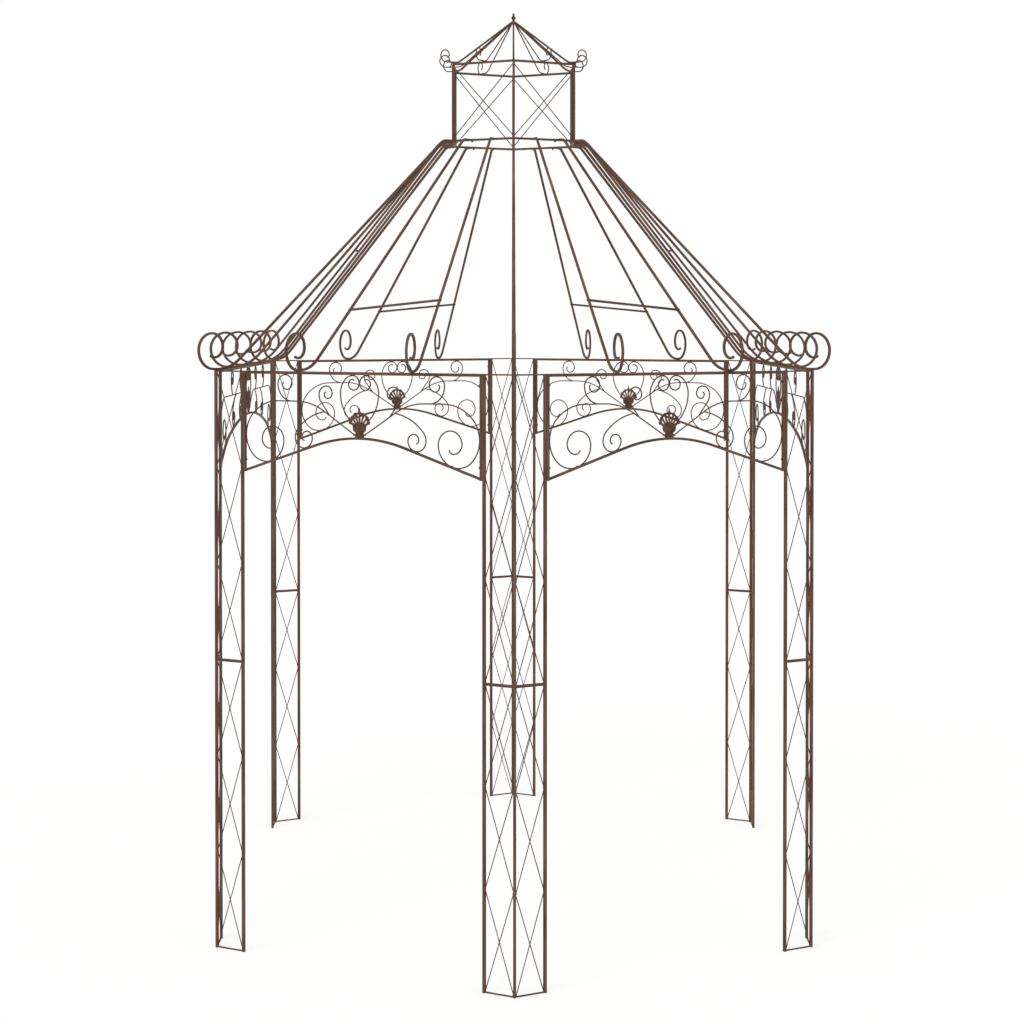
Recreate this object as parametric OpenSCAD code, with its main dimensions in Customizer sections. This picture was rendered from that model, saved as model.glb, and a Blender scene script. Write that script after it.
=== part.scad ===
// Free-standing iron garden pergola on an elongated hexagon plan, in millimetres.
// Origin on the ground at the plan centre, Z up, the front corner towards -Y, long sides at +X and -X.

/* [Plan] */
// Length of each of the four short sides, post corner to post corner
short_side = 1426; // [1380:1:1480]
// Length of the two long sides, post corner to post corner
long_side = 2360; // [2300:1:2440]

/* [Posts] */
// Height of the posts
post_h = 2400; // [2360:1:2440]
// Width of one lattice side of a post, between bar centres
post_w = 136; // [128:1:142]
// Square bar of the posts
post_bar = 12; // [10:0.5:14]
// Flat strut at the ends of a post section
strut = 6; // [5:0.5:8]
// Wire of the scrollwork, and thickness of the struts
wire = 5; // [4.5:0.5:6]
// Wire of the lattice
lattice_wire = 4; // [3.5:0.5:5]
// Crossings in one lattice side of a post section
lattice_cells = 3; // [2:1:4]

/* [Arch panels] */
// Square bar of the panel frames
panel_bar = 12; // [10:0.5:13]
// Arched bar
arch_bar = 10; // [9:0.5:11]
// Depth of a panel at its middle, from the post top to the arched bar's centre
arch_drop = 265; // [262:1:268]
// Slope of the straight ends of the short sides' arches, degrees
arch_slope = 17.5; // [17:0.1:18]
// Radius of the short sides' arches at the middle
arch_r = 700; // [680:1:720]
// Depth of a long panel at its middle, from the post top to the arched bar's centre
long_drop = 226; // [223:1:229]
// Radius of the long sides' arches at the middle
long_r = 4000; // [3900:10:4100]
// Angle that the middle bend of a long arch takes up on each side
long_bend = 10; // [9.6:0.1:10.4]
// Radius of the long sides' arches at the ends
end_r = 1070; // [1050:5:1090]
// Radius of the hearts' shoulders, from which the scrolls take their size
scroll_r = 50; // [48:0.5:52]
// Depth of the stems' level runs under the post tops
stem_drop = 121; // [119:0.5:123]

/* [Shells] */
// Length of the middle rib, from the fan's centre to the middle of its lobe
shell_r = 62; // [59:1:65]
// Ribs of the fan
shell_ribs = 7; // [5:2:9]
// Angle over which the ribs spread
shell_spread = 114; // [108:1:118]
// Height of the fan's centre over the arched bar
shell_rise = 31.5; // [29.5:0.5:33.5]
// Radius of the domed base
shell_base = 26; // [24:0.5:28]
// Half width of the foot
shell_foot = 26; // [24:0.5:28]
// Thickness of the casting's plate
shell_t = 6; // [5.5:0.5:8]
// Radius of a rib
rib_r = 4; // [3.7:0.1:4.4]
// Radius of the lobe at the end of a rib
lobe_r = 10; // [9.4:0.1:10.4]
// Width of the rim between the lobes
rim_w = 14; // [12:0.5:16]

/* [Roof] */
// Square bar of the rafters
rafter = 10; // [9:0.5:12]
// Height of the lantern's lower ring over the posts, to the middle of the bar
roof_rise = 1027; // [980:1:1070]
// Radius of the rafters' bend at the lantern
bend_r = 48; // [40:1:56]
// Radius of the rafters' flare at the eaves
flare_r = 180; // [160:1:200]
// Radius of the first turn of the eave scrolls
curl_r = 78; // [70:1:84]
// Place of the inner rafters of the short sides, as a share of the side from the front or back corner
inner_place = 0.325; // [0.3:0.005:0.35]
// Place of the outer rafters of the short sides, as a share of the side from the front or back corner
outer_place = 0.705; // [0.68:0.005:0.72]
// Height of the short sides' cross ties over the posts, at mid-length
tie_rise = 270; // [240:1:300]
// Fall of the short sides' cross ties towards the long sides
tie_fall = 39; // [0:1:50]
// Height of the long sides' cross ties over the posts
long_tie_rise = 530; // [500:1:560]

/* [Lantern] */
// Short sides of the lantern
lantern_short = 318; // [300:1:340]
// Long sides of the lantern
lantern_long = 366; // [340:1:390]
// Height of the lantern between its rings' centres
lantern_h = 349; // [330:1:370]
// Square bar of the rings
ring_bar = 10; // [9:0.5:12]
// Square bar of the uprights
upright = 11; // [10:0.5:12]
// Height of the lantern roof, from the upper ring's centre to the middle of the collar
cap_h = 212; // [200:1:224]
// Square bar of the lantern's hips
cap_bar = 8; // [7:0.5:9]
// Radius of the lantern roof's flare at its eaves
cap_flare_r = 60; // [55:1:65]
// Reach of the lantern roof's scrolls over the eaves, before their first turn
cap_reach = 38; // [34:1:42]
// Radius of the first turn of the lantern roof's scrolls
cap_curl_r = 29; // [27:0.5:31]
// Radius of the collar at the top
collar_r = 17; // [16:0.5:20]

/* [Finial] */
// Height of the finial above the collar
finial_h = 40; // [36:1:44]
// Diameter of the finial's ball
ball_d = 20; // [18:0.5:22]
// Diameter of the knob on the ball
knob_d = 11; // [10:0.5:12]

/* [Hidden] */
$fn = 48;
iron = [0.37, 0.28, 0.23];
dark_iron = [0.30, 0.23, 0.19];
half_h = post_h / 2;
ring_z = post_h + roof_rise;
tie_z = post_h + tie_rise;
long_tie_z = post_h + long_tie_rise;
upper_z = ring_z + lantern_h;
cap_z = upper_z + cap_h;
collar_h = 10;
collar_len = 2;
collar_lip = 0.4;
lead = 45;
foot = 24;
short_half = short_side / 2 - post_w - post_bar / 2;
long_half = long_side / 2 - post_w - post_bar / 2;
apex_z = post_h - arch_drop;
long_apex_z = post_h - long_drop;
bite = 1.2;
heart_rise = 75;
stem_z = post_h - stem_drop;
stem_r = 255;
stem_slope = 32;
scroll_top = post_h - panel_bar - wire / 2 + bite / 4;
rib_step = shell_spread / (shell_ribs - 1);
last_rib = (shell_ribs - 1) / 2;
dome_h = shell_base * 0.38;
lobe_h = lobe_r * 0.56;
tip_h = 17;
curls = [[curl_r, 90], [curl_r * 0.9, 90], [curl_r * 0.72, 90], [curl_r * 0.56, 120]];
small_curls = [[cap_curl_r, 90], [cap_curl_r * 0.87, 90], [cap_curl_r * 0.68, 90], [cap_curl_r * 0.47, 75]];
C = plan(short_side, long_side, 0);
K = plan(lantern_short, lantern_long, 0);

// Corners of an equiangular hexagon with two long sides, moved outward by d.
function plan(s, l, d) =
  let (g = d * 2 / sqrt(3), a = (s + l) / 2 + g, b = (s + g) * sqrt(3) / 2, e = (l + g) / 2)
  [[0, -a], [b, -e], [b, e], [0, a], [-b, e], [-b, -e]];

// End point of one run or bend that starts at p with heading h.
function tip(p, h, s) =
  s[1] == 0 ? p + s[0] * [cos(h), sin(h)]
  : s[1] > 0 ? p + s[0] * [sin(h + s[1]) - sin(h), cos(h) - cos(h + s[1])]
  : p + s[0] * [sin(h) - sin(h + s[1]), cos(h + s[1]) - cos(h)];

// Start point and heading of each piece of a bent bar.
function stations(segs, p, h) =
  [for (k = 0, q = p, a = h; k < len(segs); q = tip(q, a, segs[k]), a = a + segs[k][1], k = k + 1) [q, a]];

// Slope of a rafter between its two bends, and the length of its straight run.
function rake(run, drop, r) =
  let (s = sqrt(run * run + drop * drop - 2 * r * drop))
  [atan2(drop - r, run) + atan2(r, s), s];

function unit(v) = v / norm(v);
function mix(p, q, t) = p + t * (q - p);

// Flat pieces of bent bar
module sector(r, w, sweep) {
  reach = 2 * (r + w);
  intersection() {
    difference() {
      circle(r = r + w / 2);
      circle(r = r - w / 2);
    }
    polygon([[0, 0], [reach, 0], reach * [cos(sweep / 2), sin(sweep / 2)], reach * [cos(sweep), sin(sweep)]]);
  }
}

module piece(p, h, s, w) {
  if (s[1] == 0)
    translate(p)
      rotate(h)
        translate([0, -w / 2])
          square([s[0], w]);
  else if (s[1] > 0)
    translate(p + s[0] * [-sin(h), cos(h)])
      rotate(h - 90)
        sector(s[0], w, s[1]);
  else
    translate(p + s[0] * [sin(h), -cos(h)])
      rotate(h + 90 + s[1])
        sector(s[0], w, -s[1]);
}

// A bar of width w along a chain of runs and bends, with a thin collar where one goes over into the next.
module bent(segs, p, h, w) {
  st = stations(segs, p, h);
  for (k = [0 : len(segs) - 1]) {
    piece(st[k][0], st[k][1], segs[k], w);
    if (k > 0)
      translate(st[k][0])
        rotate(st[k][1])
          square([collar_len, w + collar_lip], center = true);
  }
}

module link(p, q, w) {
  translate(p)
    rotate(atan2(q[1] - p[1], q[0] - p[0]))
      translate([0, -w / 2])
        square([norm(q - p), w]);
}

module both_ways() {
  children();
  mirror([1, 0])
    children();
}

// Places on the plan
module on_side(k) {
  m = (C[k] + C[(k + 1) % 6]) / 2;
  translate([m[0], m[1], 0])
    rotate([0, 0, 30 + 60 * k])
      children();
}

module standing(t) {
  rotate([90, 0, 0])
    linear_extrude(height = t, center = true)
      children();
}

// Posts
module lattice_side() {
  z0 = strut / 2;
  cell = (half_h - strut) / lattice_cells;
  for (i = [0 : lattice_cells - 1]) {
    link([wire, z0 + i * cell + wire / 2], [post_w - wire, z0 + (i + 1) * cell - wire / 2], lattice_wire);
    link([post_w - wire, z0 + i * cell + wire / 2], [wire, z0 + (i + 1) * cell - wire / 2], lattice_wire);
  }
  square([post_w, strut]);
  translate([0, half_h - strut])
    square([post_w, strut]);
}

module post_half(k, level) {
  translate([C[k][0], C[k][1], level * half_h])
    rotate([0, 0, 30 + 60 * k]) {
      rotate([0, 0, 60])
        translate([-post_bar / 2, -post_bar / 2, 0])
          cube([post_bar, post_bar, half_h]);
      for (turn = [0, 120])
        rotate([0, 0, turn]) {
          standing(wire)
            lattice_side();
          translate([post_w - post_bar / 2, -post_bar / 2, 0])
            cube([post_bar, post_bar, half_h]);
        }
    }
}

// Arch panels
// Height of an arched bar's centre at x from the panel's middle.
function arch_z(x, long) =
  long ? (x < long_r * sin(long_bend) ? long_apex_z - long_r + sqrt(long_r * long_r - x * x)
    : long_apex_z - (long_r - end_r) * (1 - cos(long_bend)) - end_r
      + sqrt(pow(end_r, 2) - pow(x - (long_r - end_r) * sin(long_bend), 2)))
  : x < arch_r * sin(arch_slope) ? apex_z - arch_r + sqrt(arch_r * arch_r - x * x)
  : apex_z - arch_r * (1 - cos(arch_slope)) - (x - arch_r * sin(arch_slope)) * tan(arch_slope);

// Height of a scroll's wire where it rests on the arched bar.
function rest_z(x, long) = arch_z(x, long) + (arch_bar + wire) / 2 - bite;

// Size of a scroll that leaves [x, z] and rests on the arched bar, dx along and dz below at full size.
function fitted(x, z, dx, dz, long, n = 6, size = 1) =
  n == 0 ? size : fitted(x, z, dx, dz, long, n - 1, (z - rest_z(x + dx * size, long)) / dz);

function sized(segs, k) = [for (q = segs) [q[0] * k, q[1]]];

// End of a rib of the fan, counted from the middle one; the outer ribs are shorter.
function rib_length(i) = shell_r * (1 - 0.21 * pow(i / last_rib, 2));
function rib_end(i) = rib_length(i) * [sin(i * rib_step), cos(i * rib_step)];

// Outline of the shell's foot, from the arched bar up to the base, with a leaf point on each side.
module shell_stand() {
  half = [[shell_foot * 0.6, 0], [shell_foot * 0.6, shell_rise * 0.14], [shell_foot * 1.1, shell_rise * 0.22],
    [shell_foot, shell_rise * 0.38], [shell_base * 0.5, shell_rise * 0.5],
    [shell_base * 1.13, shell_rise * 1.06], [shell_base * 0.95, shell_rise * 1.36]];
  polygon(concat(half, [for (i = [len(half) - 1 : -1 : 0]) [-half[i][0], half[i][1]]]));
}

// Outline of the whole shell, drawn in by d: ribs from the base to a rim with a lobe at each rib.
module shell_outline(d) {
  shell_stand();
  translate([0, shell_rise]) {
    circle(r = shell_base - d);
    for (i = [-last_rib : last_rib]) {
      link([0, 0], rib_end(i), 2 * (rib_r - d));
      translate(rib_end(i))
        circle(r = lobe_r - d);
    }
    for (i = [-last_rib : last_rib - 1])
      link(rib_end(i), rib_end(i + 1), rim_w - 2 * d);
    polygon([[-rib_r, shell_r], [rib_r, shell_r], [0, shell_r + lobe_r + tip_h]]);
  }
}

// Heart over the shell: a wire from the last lobe up to the rail and round into a spiral at the middle.
module heart(apex) {
  z = apex + heart_rise;
  r = (scroll_top - z - scroll_r * (1.6 * sin(45) + 1 - cos(45))) / cos(45);
  x = wire / 2 - bite + scroll_r * (0.62 + 1.6 * (1 - cos(45)) + sin(45)) - r * (1 - sin(45));
  lobe = rib_end(last_rib) + [0, apex + arch_bar / 2 + shell_rise];
  run = (x - lobe[0] + z - lobe[1]) / sqrt(2) - lobe_r * 0.36;
  bent(concat([[run, 0], [r, 45]], sized([[1.6, 45], [1, 45], [0.62, 90], [0.54, 90], [0.48, 90], [0.38, 90],
    [0.2, 60]], scroll_r)), [x, z] - run * [cos(45), sin(45)], 45, wire);
}

// Height of the stem's straight run at x from the panel's middle.
function stem_line(x, apex) = apex + arch_bar * 1.2 + (x - shell_foot + wire) * tan(stem_slope);

// Stem from the shell's foot out to the end bar, and down it into the large scroll that rests on the arch.
module stem(half, apex, long) {
  x0 = shell_foot;
  z0 = stem_line(x0, apex);
  rise = (stem_z - z0 - stem_r * (1 - cos(stem_slope))) / sin(stem_slope);
  out = half - panel_bar - wire / 2 + bite / 4;
  k = fitted(out, stem_z, -97.1, 249, long);
  run = out - 158.9 * k - x0 - rise * cos(stem_slope) - stem_r * sin(stem_slope);
  bent(concat([[rise, 0], [stem_r, -stem_slope], [run, 0]],
    sized([[173, -45], [125, -45], [119, -45], [88, -45], [92, -45], [88, -45],
      [56, -90], [52, -90], [39, -90], [20, -80]], k)), [x0, z0], stem_slope, wire);
}

// Scroll from the stem up to the rail.
module upper_branch(x) {
  r = (scroll_top - stem_z - scroll_r * 0.74) / cos(5);
  bent(concat([[r, 85]], sized([[0.74, 90], [0.66, 90], [0.54, 90], [0.4, 90], [0.2, 60]], scroll_r)),
    [x, stem_z], 5, wire);
}

// Scroll from the stem down to the arch.
module lower_branch(x, z, long) {
  bent(sized([[217, -41], [54, -41], [43, -90], [42, -90], [27, -90], [24, -90], [14, -80]],
    fitted(x, z, 104, 151, long)), [x, z], -8, wire);
}

module arch_line(half, long) {
  if (long)
    bent([[long_r, -long_bend],
      [end_r, long_bend - asin((half - (long_r - end_r) * sin(long_bend)) / end_r)]],
      [0, long_apex_z], 0, arch_bar);
  else
    bent([[arch_r, -arch_slope], [(half - arch_r * sin(arch_slope)) / cos(arch_slope), 0]],
      [0, apex_z], 0, arch_bar);
}

module panel(k) {
  long = k == 1 || k == 4;
  half = long ? long_half : short_half;
  apex = long ? long_apex_z : apex_z;
  low = arch_z(half - panel_bar / 2, long) - arch_bar / 2;
  on_side(k) {
    standing(panel_bar) {
      translate([-half, post_h - panel_bar])
        square([2 * half, panel_bar]);
      both_ways()
        translate([half - panel_bar, low])
          square([panel_bar, post_h - low]);
    }
    standing(arch_bar)
      both_ways()
        arch_line(half - panel_bar / 2, long);
    standing(wire)
      difference() {
        both_ways() {
          heart(apex);
          stem(half, apex, long);
          if (long) {
            for (x = [long_half * 0.26, long_half * 0.57])
              upper_branch(x);
            for (x = [long_half * 0.24, long_half * 0.46])
              lower_branch(x, stem_z, long);
          }
          else {
            upper_branch(short_half * 0.585);
            lower_branch(short_half * 0.294, stem_line(short_half * 0.294, apex), long);
          }
        }
        translate([0, apex + arch_bar / 2])
          shell_outline(0);
      }
  }
}

// Shells
// Low dome of radius r that stands out by h on both faces.
module shell_dome(r, h) {
  ball = (r * r + h * h) / (2 * h);
  intersection() {
    translate([0, ball - h, 0])
      sphere(r = ball);
    translate([0, h - ball, 0])
      sphere(r = ball);
  }
}

module shell(k) {
  apex = k == 1 || k == 4 ? long_apex_z : apex_z;
  on_side(k)
    translate([0, 0, apex + arch_bar / 2]) {
      standing(shell_t)
        shell_outline(bite);
      translate([0, 0, shell_rise]) {
        shell_dome(shell_base, dome_h);
        for (i = [-last_rib : last_rib])
          rotate([0, i * rib_step, 0]) {
            translate([0, 0, shell_base / 2])
              cylinder(h = rib_length(i) - shell_base / 2, r = rib_r);
            translate([0, 0, rib_length(i)])
              shell_dome(lobe_r, lobe_h);
          }
        translate([0, 0, shell_r])
          cylinder(h = lobe_r + tip_h, r1 = lobe_r * 0.55, r2 = 1);
      }
    }
}

// Roof
module rafter_line(p, q) {
  run = norm(q - p);
  drop = ring_z - post_h - rafter / 2;
  rk = rake(run - lead - foot / 2, drop, bend_r + flare_r);
  segs = concat([[lead, 0], [bend_r, -rk[0]], [rk[1], 0], [flare_r, rk[0]], [foot, 0]], curls);
  translate([p[0], p[1], 0])
    rotate([0, 0, atan2(q[1] - p[1], q[0] - p[0])])
      standing(rafter)
        bent(segs, [0, ring_z], 0, rafter);
}

module ring_block(z, h) {
  translate([0, 0, z])
    linear_extrude(height = h)
      polygon(plan(lantern_short, lantern_long, ring_bar / 2));
}

module hip(k) {
  difference() {
    rafter_line(K[k], C[k]);
    ring_block(ring_z - 50, 100);
  }
}

function places(k) =
  k == 1 || k == 4 ? [0.2, 0.4, 0.6, 0.8]
  : k == 0 || k == 3 ? [inner_place, outer_place]
  : [1 - inner_place, 1 - outer_place];
function ring_point(k, t) = mix(K[k], K[(k + 1) % 6], t);
function eave_point(k, t) = mix(C[k], C[(k + 1) % 6], t);

module rafters(k) {
  difference() {
    for (t = places(k))
      rafter_line(ring_point(k, t), eave_point(k, t));
    ring_block(ring_z - 50, 100);
  }
}

// Point of a rafter at height z, on the plan.
function on_rafter(k, t, z) =
  let (p = ring_point(k, t), q = eave_point(k, t), drop = ring_z - post_h - rafter / 2,
    a = rake(norm(q - p) - lead - foot / 2, drop, bend_r + flare_r)[0],
    s = lead + bend_r * sin(a) + (ring_z - bend_r * (1 - cos(a)) - z) / tan(a))
  p + s * unit(q - p);

module tie(k, t0, t1, z0, z1) {
  p = on_rafter(k, t0, z0);
  q = on_rafter(k, t1, z1);
  reach = norm(q - p);
  difference() {
    translate([p[0], p[1], z0])
      rotate([0, atan2(z0 - z1, reach), atan2(q[1] - p[1], q[0] - p[0])])
        translate([0, -rafter / 2, -rafter / 2])
          cube([norm([reach, z0 - z1]), rafter, rafter]);
    for (t = [t0, t1]) {
      a = ring_point(k, t);
      b = eave_point(k, t);
      translate([a[0], a[1], 0])
        rotate([0, 0, atan2(b[1] - a[1], b[0] - a[0])])
          translate([0, -rafter / 2, post_h])
            cube([norm(b - a), rafter, ring_z - post_h]);
    }
  }
}

module short_tie(k) {
  t = places(k);
  tie(k, t[0], t[1], tie_z + tie_fall / 2, tie_z - tie_fall / 2);
}

// Lantern
module ring(z) {
  translate([0, 0, z - ring_bar / 2])
    linear_extrude(height = ring_bar)
      difference() {
        polygon(plan(lantern_short, lantern_long, ring_bar / 2));
        polygon(plan(lantern_short, lantern_long, -ring_bar / 2));
      }
}

module cage() {
  z0 = ring_z + ring_bar / 2;
  h = lantern_h - ring_bar;
  for (k = [0 : 5]) {
    translate([K[k][0], K[k][1], z0])
      rotate([0, 0, 60 * k])
        translate([-upright / 2, -upright / 2, 0])
          cube([upright, upright, h]);
    m = (K[k] + K[(k + 1) % 6]) / 2;
    half = norm(K[k] - K[(k + 1) % 6]) / 2;
    translate([m[0], m[1], z0])
      rotate([0, 0, 30 + 60 * k])
        standing(wire)
          both_ways()
            link([-half, wire], [half, h - wire], lattice_wire);
  }
}

module cap_line(q, bar) {
  drop = cap_z - upper_z - ring_bar / 2 - bar / 2;
  start = collar_r * 0.75;
  rk = rake(norm(q) - start - cap_bar, drop, cap_flare_r);
  rotate([0, 0, atan2(q[1], q[0])]) {
    standing(bar)
      bent([[rk[1], 0], [cap_flare_r, rk[0]], [cap_bar * 2.5, 0]], [start, cap_z], -rk[0], bar);
    standing(wire)
      bent(concat([[cap_reach, 0]], small_curls), [norm(q), upper_z + ring_bar / 2 + bar / 2], 0, wire);
  }
}

module cap() {
  translate([0, 0, cap_z - collar_h / 2])
    cylinder(h = collar_h, r = collar_r);
  for (k = [0 : 5]) {
    cap_line(K[k], cap_bar);
    cap_line((K[k] + K[(k + 1) % 6]) / 2, wire);
  }
}

module spire() {
  z0 = cap_z + collar_h / 2;
  translate([0, 0, z0]) {
    cylinder(h = finial_h * 0.12, r = ball_d * 0.42);
    cylinder(h = finial_h * 0.9, r = ball_d * 0.2);
    translate([0, 0, finial_h * 0.46])
      sphere(d = ball_d);
    translate([0, 0, finial_h - knob_d / 2])
      sphere(d = knob_d);
  }
}

// Named sub-parts
module post_front_lower() { color(iron) post_half(0, 0); }
module post_front_upper() { color(iron) post_half(0, 1); }
module post_front_right_lower() { color(iron) post_half(1, 0); }
module post_front_right_upper() { color(iron) post_half(1, 1); }
module post_back_right_lower() { color(iron) post_half(2, 0); }
module post_back_right_upper() { color(iron) post_half(2, 1); }
module post_back_lower() { color(iron) post_half(3, 0); }
module post_back_upper() { color(iron) post_half(3, 1); }
module post_back_left_lower() { color(iron) post_half(4, 0); }
module post_back_left_upper() { color(iron) post_half(4, 1); }
module post_front_left_lower() { color(iron) post_half(5, 0); }
module post_front_left_upper() { color(iron) post_half(5, 1); }
module panel_front_right() { color(iron) panel(0); }
module panel_right() { color(iron) panel(1); }
module panel_back_right() { color(iron) panel(2); }
module panel_back_left() { color(iron) panel(3); }
module panel_left() { color(iron) panel(4); }
module panel_front_left() { color(iron) panel(5); }
module shell_front_right() { color(dark_iron) shell(0); }
module shell_right() { color(dark_iron) shell(1); }
module shell_back_right() { color(dark_iron) shell(2); }
module shell_back_left() { color(dark_iron) shell(3); }
module shell_left() { color(dark_iron) shell(4); }
module shell_front_left() { color(dark_iron) shell(5); }
module hip_front() { color(iron) hip(0); }
module hip_front_right() { color(iron) hip(1); }
module hip_back_right() { color(iron) hip(2); }
module hip_back() { color(iron) hip(3); }
module hip_back_left() { color(iron) hip(4); }
module hip_front_left() { color(iron) hip(5); }
module rafters_front_right() { color(iron) rafters(0); }
module rafters_right() { color(iron) rafters(1); }
module rafters_back_right() { color(iron) rafters(2); }
module rafters_back_left() { color(iron) rafters(3); }
module rafters_left() { color(iron) rafters(4); }
module rafters_front_left() { color(iron) rafters(5); }
module short_side_ties() { color(iron) for (k = [0, 2, 3, 5]) short_tie(k); }
module long_side_ties() { color(iron) for (k = [1, 4]) tie(k, 0.4, 0.6, long_tie_z, long_tie_z); }
module lantern_lower_ring() { color(iron) ring(ring_z); }
module lantern_cage() { color(iron) cage(); }
module lantern_upper_ring() { color(iron) ring(upper_z); }
module lantern_roof() { color(iron) cap(); }
module finial() { color(dark_iron) spire(); }

post_front_lower();
post_front_upper();
post_front_right_lower();
post_front_right_upper();
post_back_right_lower();
post_back_right_upper();
post_back_lower();
post_back_upper();
post_back_left_lower();
post_back_left_upper();
post_front_left_lower();
post_front_left_upper();
panel_front_right();
panel_right();
panel_back_right();
panel_back_left();
panel_left();
panel_front_left();
shell_front_right();
shell_right();
shell_back_right();
shell_back_left();
shell_left();
shell_front_left();
hip_front();
hip_front_right();
hip_back_right();
hip_back();
hip_back_left();
hip_front_left();
rafters_front_right();
rafters_right();
rafters_back_right();
rafters_back_left();
rafters_left();
rafters_front_left();
short_side_ties();
long_side_ties();
lantern_lower_ring();
lantern_cage();
lantern_upper_ring();
lantern_roof();
finial();
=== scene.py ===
from math import acos, asin, atan2, ceil, copysign, cos, degrees, pi, radians, sin, sqrt, tan

import bmesh
import bpy
import numpy as np
from bpy.props import FloatProperty, FloatVectorProperty, PointerProperty, StringProperty
from mathutils import Euler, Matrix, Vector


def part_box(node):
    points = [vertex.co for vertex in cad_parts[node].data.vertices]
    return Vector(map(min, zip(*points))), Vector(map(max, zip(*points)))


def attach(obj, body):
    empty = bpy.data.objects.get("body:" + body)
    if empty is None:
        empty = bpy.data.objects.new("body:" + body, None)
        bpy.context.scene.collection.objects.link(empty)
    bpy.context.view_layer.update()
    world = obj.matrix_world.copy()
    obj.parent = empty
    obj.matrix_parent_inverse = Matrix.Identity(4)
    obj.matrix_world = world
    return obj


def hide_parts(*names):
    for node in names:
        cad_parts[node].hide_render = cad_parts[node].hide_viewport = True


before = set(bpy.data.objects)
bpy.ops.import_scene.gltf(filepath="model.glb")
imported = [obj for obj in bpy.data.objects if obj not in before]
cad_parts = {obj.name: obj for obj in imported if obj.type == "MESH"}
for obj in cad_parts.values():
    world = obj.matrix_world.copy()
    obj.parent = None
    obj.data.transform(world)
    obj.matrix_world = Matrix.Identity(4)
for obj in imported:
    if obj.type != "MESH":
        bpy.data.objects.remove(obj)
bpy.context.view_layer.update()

bl_info = {
    "name": "Iron pergola",
    "version": (1, 0, 0),
    "blender": (4, 5, 0),
    "location": "View3D > Sidebar > Pergola",
    "description": "Dresses the frame of an iron pergola: rounded tube, round wire, castings and fittings",
    "category": "Object",
}

UP = np.array((0.0, 0.0, 1.0))
CORNERS = ("front", "front_right", "back_right", "back", "back_left", "front_left")
SIDES = ("front_right", "right", "back_right", "back_left", "left", "front_left")
# Sides by length, and the short ones that start at the front or back post
SHORT_SIDES, LONG_SIDES, TIP_SIDES = (0, 2, 3, 5), (1, 4), (0, 3)

# Sizes in millimetres, those of the solids as in the part's source: plan, posts, wires, a joint's bite
SHORT_SIDE, LONG_SIDE = 1426, 2360
POST_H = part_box("post_front_upper")[1].z * 1000
POST_W, POST_BAR, STRUT, STRUT_CORNER, CELLS = 136, 12, 6, 0.8, 3
WIRE, THIN, BITE = 5, 4, 1.2
HALF_H = POST_H / 2
CELL_H = (HALF_H - STRUT) / CELLS

# Arched panels
PANEL_BAR, ARCH_BAR = 12, 10
ARCH_DROP, ARCH_SLOPE, ARCH_R = 265, 17.5, 700
LONG_DROP, LONG_R, LONG_BEND, END_R = 226, 4000, 10, 1070
APEX_Z, LONG_APEX_Z = POST_H - ARCH_DROP, POST_H - LONG_DROP
SHORT_HALF = SHORT_SIDE / 2 - POST_W - POST_BAR / 2
LONG_HALF = LONG_SIDE / 2 - POST_W - POST_BAR / 2

# Bends of the scrolls as (radius, sweep in degrees); those that rise have radii in shares of SCROLL_R
SCROLL_R, SCROLL_TOP = 50, POST_H - PANEL_BAR - WIRE / 2 + BITE / 4
HEART_RISE, HEART_LEAN = 75, 45
HEART_BENDS = ((1.6, 45), (1, 45), (0.62, 90), (0.54, 90), (0.48, 90), (0.38, 90), (0.2, 60))
UPPER_HEADING = 5
UPPER_BENDS = ((0.74, 90), (0.66, 90), (0.54, 90), (0.4, 90), (0.2, 60))
MIDDLE_HEADING, MIDDLE_RUN, MIDDLE_R = 52, 68, 50
MIDDLE_BENDS = ((0.7, 90), (0.57, 90), (0.43, 90), (0.32, 90), (0.2, 75))
STEM_R, STEM_SLOPE, STEM_LIFT, STEM_Z = 255, 32, ARCH_BAR * 1.2, POST_H - 121
STEM_BENDS = ((173, -45), (125, -45), (119, -45), (88, -45), (92, -45), (88, -45),
              (56, -90), (52, -90), (39, -90), (20, -80))
LOWER_HEADING = -8
LOWER_BENDS = ((217, -41), (54, -41), (43, -90), (42, -90), (27, -90), (24, -90), (14, -80))
# Reach of the stem's bends, and where the stem and the lower branch rest on the arched bar, across and down
STEM_OUT, STEM_LOW, LOWER_LOW = 158.9, (-97.1, 249), (104, 151)
# Where branches leave the stem, in shares of half a panel
SHORT_UPPER, SHORT_MIDDLE, SHORT_LOWER = 0.585, 0.25, 0.294
LONG_UPPERS, LONG_LOWERS = (0.26, 0.57), (0.24, 0.46)

# Shells, with the lobes that the hearts rise from
SHELL_R, SHELL_SPREAD, SHELL_RISE, SHELL_FOOT = 62, 114, 31.5, 26
LAST_RIB = SHELL_R * 0.79
LOBE_R, LOBE_SEAT = 10, 0.36
# Edges of base, gaps and rim from the fan's centre, in the solid and on the casting's middle rib
FAN_SOLID, FAN_CAST = (26, 43, 72), (20, 52, 72)
# The base's edge on the last ribs, and the angles from upright over which the fan gives way to the foot
SIDE_BASE, FAN_FADE = 28, (75, 100)
# Softening of the casting's skin, as factor and passes, and its width over the solid's above the arched bar
CAST_SOFT = (0.5, 4)
FORM_Z = (0, 5, 10, 18, 22, 26, 30, 34, 38, 42, 46, 50)
FORM_W = (1.35, 1.3, 1.0, 0.9, 1.07, 1.28, 1.12, 1.0, 1.04, 1.15, 1.1, 1.0)

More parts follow.
